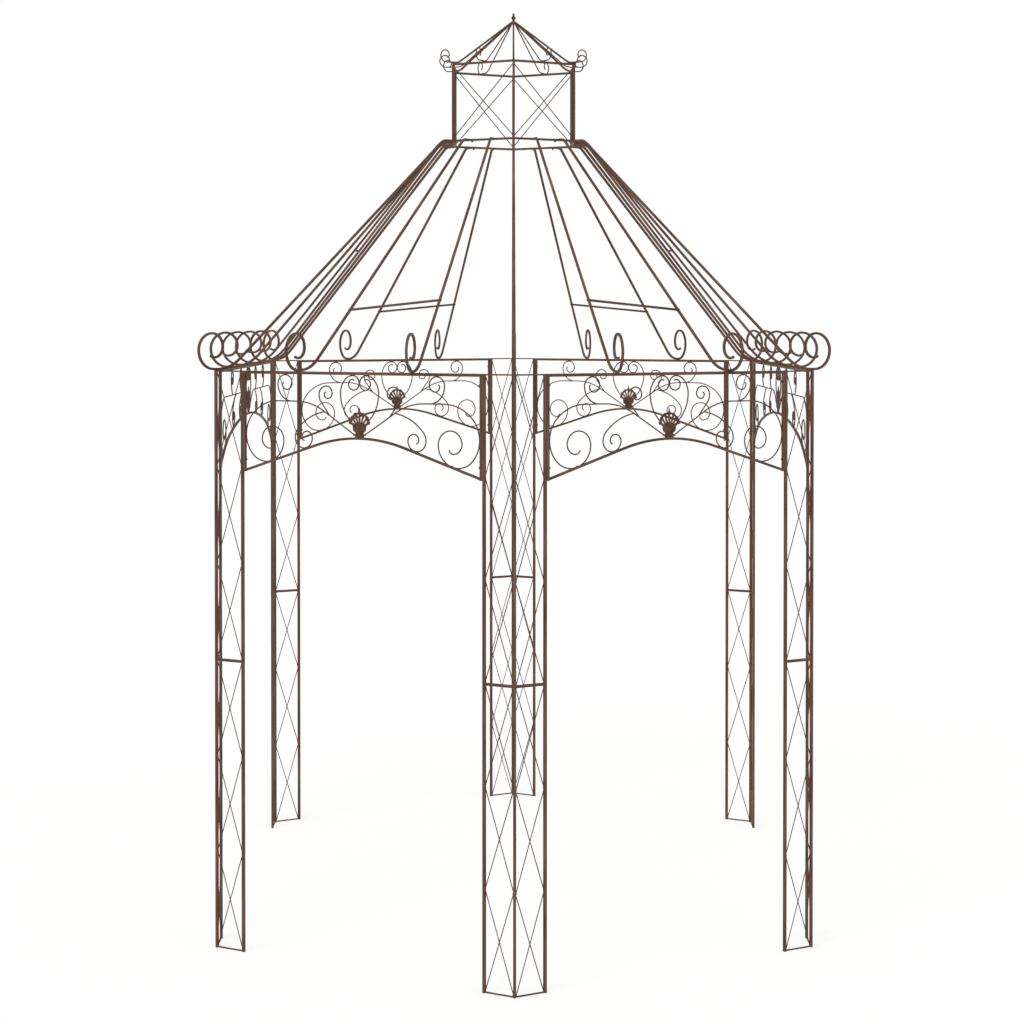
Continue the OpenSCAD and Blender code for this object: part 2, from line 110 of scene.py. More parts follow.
# Roof, with the rafters' places as shares of a side, and the length of a tie past a rafter's middle
RAFTER, LEAD, BEND_R, FLARE_R, FOOT, CURL_R = 10, 45, 48, 180, 24, 78
CURLS = [(CURL_R, 90), (CURL_R * 0.9, 90), (CURL_R * 0.72, 90), (CURL_R * 0.56, 120)]
INNER_PLACE, OUTER_PLACE, LONG_PLACES = 0.325, 0.705, (0.2, 0.4, 0.6, 0.8)
TIE_Z, LONG_TIE_Z, TIE_FALL, TIE_PAST = POST_H + 270, POST_H + 530, 39, 7

# Lantern, its roof, the collar and the finial
LANTERN_SHORT, LANTERN_LONG, LANTERN_H = 318, 366, 349
RING_BAR, RING_SEAT, UPRIGHT, RING_Z = 10, 0.45, 11, POST_H + 1027
UPPER_Z = RING_Z + LANTERN_H
CAP_H, CAP_BAR, CAP_FLARE_R, CAP_REACH, CAP_CURL_R = 212, 8, 60, 38, 29
CAP_CURLS = [(CAP_CURL_R, 90), (CAP_CURL_R * 0.87, 90), (CAP_CURL_R * 0.68, 90), (CAP_CURL_R * 0.47, 75)]
CAP_Z, CAP_LEAD = UPPER_Z + CAP_H, CAP_BAR * 2.5
COLLAR_R, COLLAR_H, COLLAR_CHAMFER, COLLAR_SEAT = 17, 10, 1.5, 0.75
COLLAR_SHOULDER = ((0, 3), (1, 1.2), (4, 0))
FINIAL_H, BALL_D, BALL_PLACE, KNOB_D = 40, 20, 0.46, 11
BALL_ARC, KNOB_ARC = np.radians(np.arange(-60, 66, 12)), np.radians(np.arange(-40, 90, 13))
# Radii in shares of the ball's, with heights in millimetres for the foot and as a share for the neck
FINIAL_FOOT, FINIAL_NECK = ((0, 0), (0.84, 0), (0.84, 3), (0.7, 4.8), (0.52, 6)), (0.36, 0.72)

# Bolts from an end bar's ends, a nut's share of the way from its rafter to the side's middle, welds from a
# post's end struts, and the scrolls' welds from a shell's middle
BOLT_IN, NUT_ASIDE, WELD_END, SHELL_CLEAR = 45, 0.1, 3, 60
# Largest turn in degrees and sag between a bend's points, least cosine of a mitre, angle of a crisp edge
TURN_STEP, SAG, MITRE, CRISP = 7.5, 0.12, 0.4, radians(40)
# Largest radius of a tube's corner as a share of its width
CORNER_SHARE = 0.45
# Shift of the coat's map from bar to bar, so that no two bars have the same streaks
MAP_ALONG, MAP_AROUND = 613.0, 71.0


# Plan
def hexagon(short, long):
    """Corners of the plan, anticlockwise from the front corner."""
    a, b, e = (short + long) / 2, short * sqrt(3) / 2, long / 2
    return np.array([(0, -a), (b, -e), (b, e), (0, a), (-b, e), (-b, -e)])


POSTS = hexagon(SHORT_SIDE, LONG_SIDE)
LANTERN = hexagon(LANTERN_SHORT, LANTERN_LONG)


def is_long(k):
    return k in LONG_SIDES


def turned(angle):
    """Unit vector on the plan at an angle in degrees."""
    return np.array((cos(radians(angle)), sin(radians(angle)), 0.0))


def between(ring, k, t):
    """Place on side k of a plan, at the share t of its length."""
    return ring[k] + t * (ring[(k + 1) % 6] - ring[k])


def along_side(k, turn=0):
    """Direction along side k of a plan, turned by some more degrees."""
    return turned(30 + 60 * k + turn)


def side_frame(k):
    """Middle of a side on the ground, and the direction along it."""
    return np.append((POSTS[k] + POSTS[(k + 1) % 6]) / 2, 0), along_side(k)


def panel_sizes(long):
    """Half the length of a panel, and the height of its arch."""
    return (LONG_HALF, LONG_APEX_Z) if long else (SHORT_HALF, APEX_Z)


# Bent bars as flat chains of runs and bends
def chain(segs, p, heading):
    """Points along a chain of (length, 0) runs and (radius, sweep) bends, from p at a heading in degrees."""
    pts, q, h = [np.array(p, float)], np.array(p, float), heading
    for size, sweep in segs:
        if sweep == 0:
            q = q + size * turned(h)[:2]
            pts.append(q)
            continue
        turn = copysign(1, sweep)
        step = min(TURN_STEP, degrees(2 * acos(1 - SAG / max(size, 1))))
        n = max(2, ceil(abs(sweep) / step))
        hub = q + turn * size * np.array((-sin(radians(h)), cos(radians(h))))
        for i in range(1, n + 1):
            a = radians(h + sweep * i / n)
            pts.append(hub + turn * size * np.array((sin(a), -cos(a))))
        q, h = pts[-1], h + sweep
    return np.array(pts)


def sized(bends, k):
    """Bends with their radii times k."""
    return [(r * k, s) for r, s in bends]


def rake(run, drop, r):
    """Slope of a rafter between its two bends, and the length of its straight run."""
    s = sqrt(run * run + drop * drop - 2 * r * drop)
    return degrees(atan2(drop - r, run) + atan2(r, s)), s


def arch_z(x, long):
    """Height of an arched bar's centre at x from the panel's middle."""
    if long:
        b = radians(LONG_BEND)
        if x < LONG_R * sin(b):
            return LONG_APEX_Z - LONG_R + sqrt(LONG_R ** 2 - x * x)
        return (LONG_APEX_Z - (LONG_R - END_R) * (1 - cos(b)) - END_R
                + sqrt(END_R ** 2 - (x - (LONG_R - END_R) * sin(b)) ** 2))
    s = radians(ARCH_SLOPE)
    if x < ARCH_R * sin(s):
        return APEX_Z - ARCH_R + sqrt(ARCH_R ** 2 - x * x)
    return APEX_Z - ARCH_R * (1 - cos(s)) - (x - ARCH_R * sin(s)) * tan(s)


def arch_line(half, long):
    """Half of an arched bar, from the panel's middle outwards."""
    if long:
        b = radians(LONG_BEND)
        end = degrees(asin((half - (LONG_R - END_R) * sin(b)) / END_R)) - LONG_BEND
        return chain([(LONG_R, -LONG_BEND), (END_R, -end)], (0, LONG_APEX_Z), 0)
    s = radians(ARCH_SLOPE)
    run = (half - ARCH_R * sin(s)) / cos(s)
    return chain([(ARCH_R, -ARCH_SLOPE), (run, 0)], (0, APEX_Z), 0)


def fitted(x, z, low, long):
    """Size of a scroll that leaves x, z and comes to rest on the arched bar at low."""
    size = 1.0
    for _ in range(6):
        size = (z - arch_z(x + low[0] * size, long) - (ARCH_BAR + WIRE) / 2 + BITE) / low[1]
    return size


def heart(apex):
    """Half a heart, from a lobe of the shell to the rail and the panel's middle."""
    c = cos(radians(HEART_LEAN))
    z = apex + HEART_RISE
    wide, top, curl = (r for r, _ in HEART_BENDS[:3])
    r = (SCROLL_TOP - z - SCROLL_R * (wide * c + top * (1 - c))) / c
    x = WIRE / 2 - BITE + SCROLL_R * (curl + wide * (1 - c) + top * c) - r * (1 - c)
    a = radians(SHELL_SPREAD / 2)
    lobe = LAST_RIB * np.array((sin(a), cos(a))) + (0, apex + ARCH_BAR / 2 + SHELL_RISE)
    run = (x - lobe[0] + z - lobe[1]) / sqrt(2) - LOBE_R * LOBE_SEAT
    segs = [(run, 0), (r, HEART_LEAN)] + sized(HEART_BENDS, SCROLL_R)
    return chain(segs, (x - run * c, z - run * c), HEART_LEAN)


def stem_line(x, apex):
    """Height of the stem's sloping run at x."""
    return apex + STEM_LIFT + (x - SHELL_FOOT + WIRE) * tan(radians(STEM_SLOPE))


def stem(half, apex, long):
    """The stem, from the shell's foot to the end bar and a scroll on the arched bar."""
    x, slope = SHELL_FOOT, radians(STEM_SLOPE)
    z = stem_line(x, apex)
    rise = (STEM_Z - z - STEM_R * (1 - cos(slope))) / sin(slope)
    out = half - PANEL_BAR - WIRE / 2 + BITE / 4
    k = fitted(out, STEM_Z, STEM_LOW, long)
    run = out - STEM_OUT * k - x - rise * cos(slope) - STEM_R * sin(slope)
    segs = [(rise, 0), (STEM_R, -STEM_SLOPE), (run, 0)] + sized(STEM_BENDS, k)
    return chain(segs, (x, z), STEM_SLOPE)


def upper_branch(x):
    """Scroll from the stem's level run up to the rail."""
    r = (SCROLL_TOP - STEM_Z - SCROLL_R * UPPER_BENDS[0][0]) / cos(radians(UPPER_HEADING))
    return chain([(r, 90 - UPPER_HEADING)] + sized(UPPER_BENDS, SCROLL_R), (x, STEM_Z), UPPER_HEADING)


def middle_branch(x, z):
    """Free scroll that rises from the stem between the heart and the upper branch."""
    segs = [(MIDDLE_RUN, 0), (MIDDLE_R, 90 - MIDDLE_HEADING)] + sized(MIDDLE_BENDS, SCROLL_R)
    return chain(segs, (x, z), MIDDLE_HEADING)


def lower_branch(x, z, long):
    """Scroll from the stem down to the arched bar."""
    return chain(sized(LOWER_BENDS, fitted(x, z, LOWER_LOW, long)), (x, z), LOWER_HEADING)


def scrolls(long):
    """The wires of one half of a panel, in the panel's own plane."""
    half, apex = panel_sizes(long)
    wires = [heart(apex), stem(half, apex, long)]
    if long:
        wires += [upper_branch(half * t) for t in LONG_UPPERS]
        wires += [lower_branch(half * t, STEM_Z, long) for t in LONG_LOWERS]
    else:
        low, free = half * SHORT_LOWER, half * SHORT_MIDDLE
        wires += [upper_branch(half * SHORT_UPPER), lower_branch(low, stem_line(low, apex), long)]
        wires += [middle_branch(free, stem_line(free, apex))]
    return wires


def rafter_places(k):
    """Shares of a side at which its rafters stand, on a short side from the front or back post outwards."""
    if is_long(k):
        return LONG_PLACES
    return (INNER_PLACE, OUTER_PLACE) if k in TIP_SIDES else (1 - INNER_PLACE, 1 - OUTER_PLACE)


def rafter_rake(p, q):
    """Length on the plan of a rafter from p to q, its slope, and the length of its straight run."""
    run, drop = np.linalg.norm(q - p), RING_Z - POST_H - RAFTER / 2
    return run, *rake(run - LEAD - FOOT / 2, drop, BEND_R + FLARE_R)


def rafter_path(p, q):
    """Points of a rafter from the lantern's ring at p to its curl at the eaves over q."""
    _, slope, straight = rafter_rake(p, q)
    segs = [(LEAD, 0), (BEND_R, -slope), (straight, 0), (FLARE_R, slope), (FOOT, 0)] + CURLS
    return upright_path(chain(segs, (0, RING_Z), 0), p, q - p)


def on_rafter(k, t, z):
    """Place of a rafter's centre at height z."""
    p, q = between(LANTERN, k, t), between(POSTS, k, t)
    run, slope, _ = rafter_rake(p, q)
    a = radians(slope)
    s = LEAD + BEND_R * sin(a) + (RING_Z - BEND_R * (1 - cos(a)) - z) / tan(a)
    return np.append(p + s * (q - p) / run, z)


def tie_ends(k):
    """Where a side's cross tie meets the middles of its two rafters."""
    if is_long(k):
        return [on_rafter(k, t, LONG_TIE_Z) for t in LONG_PLACES[1:3]]
    inner, outer = rafter_places(k)
    return on_rafter(k, inner, TIE_Z + TIE_FALL / 2), on_rafter(k, outer, TIE_Z - TIE_FALL / 2)


def upright_path(flat, origin, along):
    """A flat chain stood on edge at origin, running along a direction of the plan."""
    d = np.append(along / np.linalg.norm(along), 0.0)
    return np.append(origin, 0.0) + flat[:, :1] * d + flat[:, 1:] * UP


# Swept bars
def square_bar(w, t=None, corner=1.6):
    """Profile of a square tube with rolled corners."""
    t = w if t is None else t
    r = min(corner, CORNER_SHARE * min(w, t))
    pts = []
    for q, (sx, sy) in enumerate(((1, 1), (-1, 1), (-1, -1), (1, -1))):
        for i in range(4):
            a = radians(90 * q + 30 * i)
            pts.append((sx * (w / 2 - r) + r * cos(a), sy * (t / 2 - r) + r * sin(a)))
    return np.array(pts)


def round_wire(d, n=10):
    """Profile of a round wire."""
    a = np.radians(np.arange(n) * 360 / n)
    return np.stack((np.cos(a), np.sin(a)), 1) * d / 2


def same_section(size):
    """Diameter of the round wire with the section of a square one."""
    return size * sqrt(4 / pi)


def units(vectors):
    return vectors / np.linalg.norm(vectors, axis=1)[:, None]


def distances(path):
    """How far along a path each of its points lies."""
    return np.concatenate(([0], np.cumsum(np.linalg.norm(np.diff(path, axis=0), axis=1))))


def linked(name, data):
    """A new object of the scene with a mesh, a light or a camera."""
    obj = bpy.data.objects.new(name, data)
    bpy.context.scene.collection.objects.link(obj)
    return obj


def surfaced(mesh, *names):
    """Gives a mesh its materials, and smooth faces with crisp edges."""
    for name in names:
        mesh.materials.append(ready(name))
    mesh.shade_smooth()
    mesh.set_sharp_from_angle(angle=CRISP)


class Work:
    """Collects swept bars, in millimetres, and turns them into one mesh with a map along each bar."""

    def __init__(self):
        self.verts, self.faces, self.maps, self.kinds = [], [], [], []
        self.count = self.bars = 0

    def sweep(self, path, side, profile, kind=0, closed=False):
        """Adds a bar: a profile carried along a path, its first axis kept on side and its corners mitred."""
        path, side = np.asarray(path, float), np.asarray(side, float)
        if closed:
            ahead, behind = np.roll(path, -1, 0) - path, path - np.roll(path, 1, 0)
        else:
            steps = np.diff(path, axis=0)
            ahead, behind = np.vstack((steps, steps[-1:])), np.vstack((steps[:1], steps))
        ahead, behind = units(ahead), units(behind)
        tangent = units(ahead + behind)
        mitre = 1 / np.clip((tangent * ahead).sum(1), MITRE, 1)
        other = np.cross(tangent, side) * mitre[:, None]
        m, n = len(profile), len(path)
        rings = path[:, None, :] + profile[None, :, :1] * side + profile[None, :, 1:] * other[:, None, :]
        base = self.count
        self.verts.append(rings.reshape(-1, 3))
        self.count += n * m
        along = distances(np.vstack((path, path[:1])) if closed else path) + MAP_ALONG * self.bars
        around = distances(np.vstack((profile, profile[:1]))) + MAP_AROUND * self.bars
        for i in range(n if closed else n - 1):
            j = (i + 1) % n
            for a in range(m):
                b = (a + 1) % m
                self.faces.append((base + i * m + a, base + i * m + b, base + j * m + b, base + j * m + a))
                self.maps.append(((around[a], along[i]), (around[a + 1], along[i]),
                                  (around[a + 1], along[i + 1]), (around[a], along[i + 1])))
                self.kinds.append(kind)
        if not closed:
            for ring, order in ((0, range(m - 1, -1, -1)), (n - 1, range(m))):
                self.faces.append(tuple(base + ring * m + a for a in order))
                spots = profile + (around[0], along[ring])
                self.maps.append(tuple(tuple(spots[a]) for a in order))
                self.kinds.append(kind)
        self.bars += 1

    def line(self, p, q, side, profile, kind=0):
        """Adds a straight bar from p to q."""
        self.sweep(np.array((p, q), float), side, profile, kind)

    def replace(self, node):
        """Makes one piece of the bars, in metres, in the place of a CAD node; kind 0 is tube, kind 1 wire."""
        mesh = bpy.data.meshes.new(f"{node}_work")
        mesh.from_pydata((np.vstack(self.verts) / 1000).tolist(), [], self.faces)
        coat = mesh.uv_layers.new(name="coat")
        flat = np.array([v for face in self.maps for v in face]) / 1000
        coat.data.foreach_set("uv", flat.ravel())
        surfaced(mesh, "antique_brown_tube", "antique_brown_wire")
        mesh.polygons.foreach_set("material_index", self.kinds)
        mesh.update()
        seat(linked(f"{node}_work", mesh), node)


def lathe(name, outline, n=32):
    """A turned casting about the Z axis from (radius, height) points in millimetres."""
    bm = bmesh.new()
    rings, turns = [], [2 * pi * i / n for i in range(n)]
    for r, z in outline:
        spots = [(r * cos(a) / 1000, r * sin(a) / 1000, z / 1000) for a in turns]
        rings.append([bm.verts.new(spot) for spot in (spots if r else spots[:1])])
    for a, b in zip(rings, rings[1:]):
        for i in range(n):
            j = (i + 1) % n
            quad = [a[i % len(a)], a[j % len(a)], b[j % len(b)], b[i % len(b)]]
            bm.faces.new(list(dict.fromkeys(quad)))
    bmesh.ops.recalc_face_normals(bm, faces=bm.faces)
    mesh = bpy.data.meshes.new(name)
    bm.to_mesh(mesh)
    bm.free()
    surfaced(mesh, "painted_cast_iron")
    return linked(name, mesh)


def settled(obj):
    """Keeps the result of an object's modifiers as its mesh, and takes the modifiers off."""
    bpy.context.view_layer.update()
    graph = bpy.context.evaluated_depsgraph_get()
    result = bpy.data.meshes.new_from_object(obj.evaluated_get(graph))
    obj.modifiers.clear()
    obj.data = result
    return result


def seat(obj, node):
    """Puts a finished piece in the place of a CAD node."""
    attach(obj, "root")
    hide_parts(node)


# Materials, with the sizes of their patterns in millimetres: clouds in the paint, its grain, and worn patches
COAT_CLOUD, COAT_GRAIN = 130, 4
CAST_CLOUD, CAST_GRAIN = 22, 2.2
NUT_PATCH = 5
# The wires' coat over the tubes': its shade, and the length and width of its streaks
WIRE_SHADE, WIRE_STREAK = 0.8, (0.4, 0.7)


def linear(code):
    """Linear colour of an sRGB hex value."""
    parts = [int(code[i:i + 2], 16) / 255 for i in (1, 3, 5)]
    return tuple(c / 12.92 if c <= 0.04045 else ((c + 0.055) / 1.055) ** 2.4 for c in parts) + (1.0,)


def grey(level):
    return level, level, level, 1.0


def add(tree, kind, settings=None, values=None, links=None):
    """Adds a node, sets its properties and socket values, and links other nodes' outputs to its inputs."""
    node = tree.nodes.new(kind)
    for key, value in (settings or {}).items():
        setattr(node, key, value)
    for key, value in (values or {}).items():
        node.inputs[key].default_value = value
    for key, source in (links or {}).items():
        tree.links.new(source, node.inputs[key])
    return node


def material_tree(name):
    """The empty tree of a new material."""
    paint = bpy.data.materials.new(name)
    paint.use_nodes = True
    paint.node_tree.nodes.clear()
    return paint.node_tree


def colour_stops(node, stops):
    """Sets the places and colours of a ramp, and gives its colour."""
    elements = node.color_ramp.elements
    while len(elements) < len(stops):
        elements.new(0.5)
    for element, (place, colour) in zip(elements, stops):
        element.position, element.color = place, colour
    return node.outputs["Color"]


def painted(tree, place, colour, wear, gloss, grain, bump):
    """Ends the tree of a paint: its roughness follows the wear, and a fine grain lifts its skin."""
    rough = add(tree, "ShaderNodeMapRange", {},
                {"From Min": 0.3, "From Max": 0.7, "To Min": gloss[0], "To Max": gloss[1]}, {"Value": wear})
    skin = add(tree, "ShaderNodeTexNoise", {}, {"Scale": 1000 / grain, "Detail": 2.0}, {"Vector": place})
    lift = add(tree, "ShaderNodeBump", {}, {"Strength": bump[0], "Distance": bump[1]},
               {"Height": skin.outputs["Fac"]})
    shader = add(tree, "ShaderNodeBsdfPrincipled", {},
                 {"Metallic": 0.0, "IOR": 1.5, "Specular IOR Level": 0.25},
                 {"Base Color": colour, "Roughness": rough.outputs["Result"],
                  "Normal": lift.outputs["Normal"]})
    add(tree, "ShaderNodeOutputMaterial", links={"Surface": shader.outputs["BSDF"]})


def coat_material(name, finish, deepen, length, width):
    """Antique-brown stoved paint on mild steel, brushed on dark and rubbed back along the bar.

    The eye meets long pinkish and olive streaks over a dark satin ground.
    """
    tree = material_tree(name)
    spot = add(tree, "ShaderNodeUVMap", {"uv_map": "coat"}).outputs["UV"]
    stretch = add(tree, "ShaderNodeMapping", {}, {"Scale": (1000 / width, 1000 / length, 1.0)},
                  {"Vector": spot})
    streaks = add(tree, "ShaderNodeTexNoise", {"noise_dimensions": "2D"},
                  {"Scale": 1.0, "Detail": 3.0, "Roughness": 0.55}, {"Vector": stretch.outputs["Vector"]})
    place = add(tree, "ShaderNodeTexCoord").outputs["Object"]
    cloud = add(tree, "ShaderNodeTexNoise", {}, {"Scale": 1000 / COAT_CLOUD, "Detail": 2.0, "Roughness": 0.5},
                {"Vector": place})
    rubbed = add(tree, "ShaderNodeValToRGB", links={"Fac": streaks.outputs["Fac"]})
    colours = colour_stops(rubbed, [
        (0.30, linear(finish.coat_dark)), (0.46, linear(finish.coat)), (0.60, linear(finish.coat_olive)),
        (0.72, linear(finish.coat_light))])
    uneven = add(tree, "ShaderNodeValToRGB", links={"Fac": cloud.outputs["Fac"]})
    depth = colour_stops(uneven, [(0.30, grey(deepen * 0.78)), (0.70, grey(min(1, deepen * 1.12)))])
    shade = add(tree, "ShaderNodeMix", {"data_type": "RGBA", "blend_type": "MULTIPLY"}, {0: 1.0},
                {6: colours, 7: depth})
    painted(tree, place, shade.outputs[2], streaks.outputs["Fac"], (0.62, 0.42), COAT_GRAIN, (0.25, 0.0008))


def casting_material(finish):
    """Painted sand-cast iron: a grainy skin, with painted shade darkening the hollows, and a lighter
    red-brown on the high ribs that is partly rubbed wear and partly painted highlight.
    """
    tree = material_tree("painted_cast_iron")
    place = add(tree, "ShaderNodeTexCoord").outputs["Object"]
    cloud = add(tree, "ShaderNodeTexNoise", {}, {"Scale": 1000 / CAST_CLOUD, "Detail": 3.0},
                {"Vector": place})
    # Pointiness darkens the hollows as painted shade, and lightens the high ribs partly as rubbed wear and
    # partly as painted highlight
    high = add(tree, "ShaderNodeNewGeometry").outputs["Pointiness"]
    wear_and_painted_light = add(tree, "ShaderNodeMapRange", {},
              {"From Min": 0.44, "From Max": 0.58, "To Min": -0.22, "To Max": 0.25}, {"Value": high})
    mixed = add(tree, "ShaderNodeMath", {"operation": "ADD"}, {},
                {0: cloud.outputs["Fac"], 1: wear_and_painted_light.outputs["Result"]})
    rubbed = add(tree, "ShaderNodeValToRGB", links={"Fac": mixed.outputs["Value"]})
    colours = colour_stops(rubbed, [
        (0.28, linear(finish.cast_dark_and_shade)), (0.50, linear(finish.cast)), (0.78, linear(finish.cast_rubbed_and_highlight))])
    painted(tree, place, colours, mixed.outputs["Value"], (0.66, 0.48), CAST_GRAIN, (0.35, 0.0006))


def fastener_material(finish):
    """Bronzed steel of the cap nuts: thin dark plating over turned metal, worn lighter in patches."""
    tree = material_tree("bronzed_steel")
    place = add(tree, "ShaderNodeTexCoord").outputs["Object"]
    patch = add(tree, "ShaderNodeTexNoise", {}, {"Scale": 1000 / NUT_PATCH, "Detail": 2.0}, {"Vector": place})
    worn = add(tree, "ShaderNodeValToRGB", links={"Fac": patch.outputs["Fac"]})
    colours = colour_stops(worn, [(0.35, linear(finish.nut_dark)), (0.68, linear(finish.nut))])
    gloss = add(tree, "ShaderNodeMapRange", {}, {"To Min": 0.34, "To Max": 0.5},
                {"Value": patch.outputs["Fac"]})
    shader = add(tree, "ShaderNodeBsdfPrincipled", {}, {"Metallic": 0.85},
                 {"Base Color": colours, "Roughness": gloss.outputs["Result"]})
    add(tree, "ShaderNodeOutputMaterial", links={"Surface": shader.outputs["BSDF"]})


def ready(name):
    """A material that is already made."""
    found = bpy.data.materials.get(name)
    if found is None:
        raise RuntimeError(f"run the finishes before the pieces: there is no material {name}")
    return found


# Properties
class PergolaFinish(bpy.types.PropertyGroup):
    coat: StringProperty(name="Coat", description="Ground colour of the coat, sRGB hex", default="#583A28")
    coat_dark: StringProperty(
        name="Dark streaks", description="Streaks left dark, sRGB hex", default="#3E271E")
    coat_olive: StringProperty(
        name="Olive streaks", description="Worn streaks, sRGB hex", default="#5A4433")
    coat_light: StringProperty(
        name="Light streaks", description="Rubbed streaks, sRGB hex", default="#704F42")
    cast: StringProperty(
        name="Castings", description="Ground colour of the castings, sRGB hex", default="#4B3020")
    # The castings' hollow colour is painted shade, and their rib colour is partly rubbed wear and partly
    # painted highlight
    cast_dark_and_shade: StringProperty(name="Casting hollows", description="Hollows, sRGB hex", default="#311F15")
    cast_rubbed_and_highlight: StringProperty(name="Casting ribs", description="Rubbed ribs, sRGB hex", default="#6C4736")
    nut: StringProperty(name="Nuts", description="Worn plating, sRGB hex", default="#6E5442")
    nut_dark: StringProperty(name="Nut plating", description="Sound plating, sRGB hex", default="#403024")
    streak_length: FloatProperty(
        name="Streak length", description="Length of the rubbed streaks, mm", default=260.0, min=40.0)
    streak_width: FloatProperty(
        name="Streak width", description="Width of the rubbed streaks, mm", default=9.0, min=2.0)


class PergolaFittings(bpy.types.PropertyGroup):
    nut_radius: FloatProperty(
        name="Nut radius", description="Half width of a nut over its corners", default=0.0046, unit="LENGTH")
    nut_height: FloatProperty(
        name="Nut height", description="Height of a nut's six-sided part", default=0.0032, unit="LENGTH")
    weld_radius: FloatProperty(
        name="Weld size", description="Half width of a weld bead", default=0.0036, unit="LENGTH")
    tube_corner: FloatProperty(
        name="Tube corner", description="Radius of a tube's rolled corners, mm", default=1.6, min=0.2)
    wire_lap: FloatProperty(
        name="Wire lap", description="How far crossing wires stand off the lattice's plane, mm", default=1.8)
    cast_grain: FloatProperty(
        name="Casting grain", description="Grid of the rounded castings", default=0.0012, unit="LENGTH")


class PergolaStage(bpy.types.PropertyGroup):
    floor: StringProperty(name="Floor", description="Colour of the floor, sRGB hex", default="#F2F1EF")
    key: FloatProperty(name="Key light", description="Strength of the main soft light", default=1.9)
    fill: FloatProperty(name="Fill light", description="Strength of the light from the right", default=0.7)
    sky: FloatProperty(
        name="Surround", description="Strength of the even light from all round", default=0.62)
    view_angle: FloatProperty(
        name="View angle", description="Camera's angle of view", default=radians(25.3646),
        subtype="ANGLE")
    camera_place: FloatVectorProperty(
        name="Camera place", description="Where the camera stands", default=(-0.0254, -10.6018, 2.6056),
        subtype="XYZ", unit="LENGTH")
    camera_turn: FloatVectorProperty(
        name="Camera turn", description="Camera's rotation",
        default=(radians(89.0), 0.0, radians(-0.1003)), subtype="EULER")
    frame_shift: FloatProperty(
        name="Frame shift", description="Share of the frame that the view is moved down by", default=-0.1482)


# Geometry Nodes trees: washer and dome in shares of the nut's radius, and a bead's length over its width
WASHER, WASHER_H, DOME, BEAD = 1.45, 0.0012, 0.76, 1.3


def point_tree(name, inputs):
    """A new tree with geometry in and out, and the identifiers of its other inputs."""
    tree = bpy.data.node_groups.new(name, "GeometryNodeTree")
    for way in ("INPUT", "OUTPUT"):
        tree.interface.new_socket(name="Geometry", in_out=way, socket_type="NodeSocketGeometry")
    ids = {}
    for key, kind in inputs.items():
        ids[key] = tree.interface.new_socket(name=key, in_out="INPUT", socket_type=kind).identifier
    return tree, ids


def standing_on_points(tree, given, shape):
    """Instances a shape on each point, turned along the point's axis, and ends the tree as plain mesh."""
    axis = add(tree, "GeometryNodeInputNamedAttribute", {"data_type": "FLOAT_VECTOR"}, {"Name": "axis"})
    turn = add(tree, "FunctionNodeAlignRotationToVector", {"axis": "Z"},
               links={"Vector": axis.outputs["Attribute"]})
    placed = add(tree, "GeometryNodeInstanceOnPoints",
                 links={"Points": given["Geometry"], "Instance": shape, "Rotation": turn.outputs["Rotation"]})
    real = add(tree, "GeometryNodeRealizeInstances", links={"Geometry": placed.outputs["Instances"]})
    shaded = add(tree, "GeometryNodeSetMaterial",
                 links={"Geometry": real.outputs["Geometry"], "Material": given["Material"]})
    add(tree, "NodeGroupOutput", links={0: shaded.outputs["Geometry"]})


def cap_nut_tree():
    """A cap nut on a washer at every point: a six-sided nut with a dome."""
    tree, ids = point_tree("cap_nuts", {"Radius": "NodeSocketFloat", "Height": "NodeSocketFloat",
                                        "Material": "NodeSocketMaterial"})
    given = add(tree, "NodeGroupInput").outputs
    half, wide, dome = (
        add(tree, "ShaderNodeMath", {"operation": "MULTIPLY"}, {1: share}, {0: given[key]}).outputs[0]
        for key, share in (("Height", 0.5), ("Radius", WASHER), ("Radius", DOME)))
    lift = add(tree, "ShaderNodeCombineXYZ", links={"Z": half}).outputs[0]
    top = add(tree, "ShaderNodeCombineXYZ", links={"Z": given["Height"]}).outputs[0]
    washer = add(tree, "GeometryNodeMeshCylinder", {}, {"Vertices": 14, "Depth": WASHER_H},
                 {"Radius": wide}).outputs[0]
    nut = add(tree, "GeometryNodeMeshCylinder", {}, {"Vertices": 6},
              {"Radius": given["Radius"], "Depth": given["Height"]}).outputs[0]
    nut = add(tree, "GeometryNodeTransform", links={"Geometry": nut, "Translation": lift}).outputs[0]
    ball = add(tree, "GeometryNodeMeshUVSphere", {}, {"Segments": 12, "Rings": 8},
               {"Radius": dome}).outputs[0]
    ball = add(tree, "GeometryNodeTransform", links={"Geometry": ball, "Translation": top}).outputs[0]
    ball = add(tree, "GeometryNodeSetShadeSmooth", links={"Geometry": ball}).outputs[0]
    shape = add(tree, "GeometryNodeJoinGeometry")
    for part in (ball, nut, washer):
        tree.links.new(part, shape.inputs["Geometry"])
    standing_on_points(tree, given, shape.outputs["Geometry"])
    return tree, ids


def weld_tree():
    """A low weld bead at every point, drawn out along the point's axis."""
    tree, ids = point_tree("weld_beads", {"Radius": "NodeSocketFloat", "Material": "NodeSocketMaterial"})
    given = add(tree, "NodeGroupInput").outputs
    bead = add(tree, "GeometryNodeMeshIcoSphere", {}, {"Subdivisions": 2},
               {"Radius": given["Radius"]}).outputs[0]
    bead = add(tree, "GeometryNodeTransform", {}, {"Scale": (1.0, 1.0, BEAD)}, {"Geometry": bead}).outputs[0]
    bead = add(tree, "GeometryNodeSetShadeSmooth", links={"Geometry": bead}).outputs[0]
    standing_on_points(tree, given, bead)
    return tree, ids


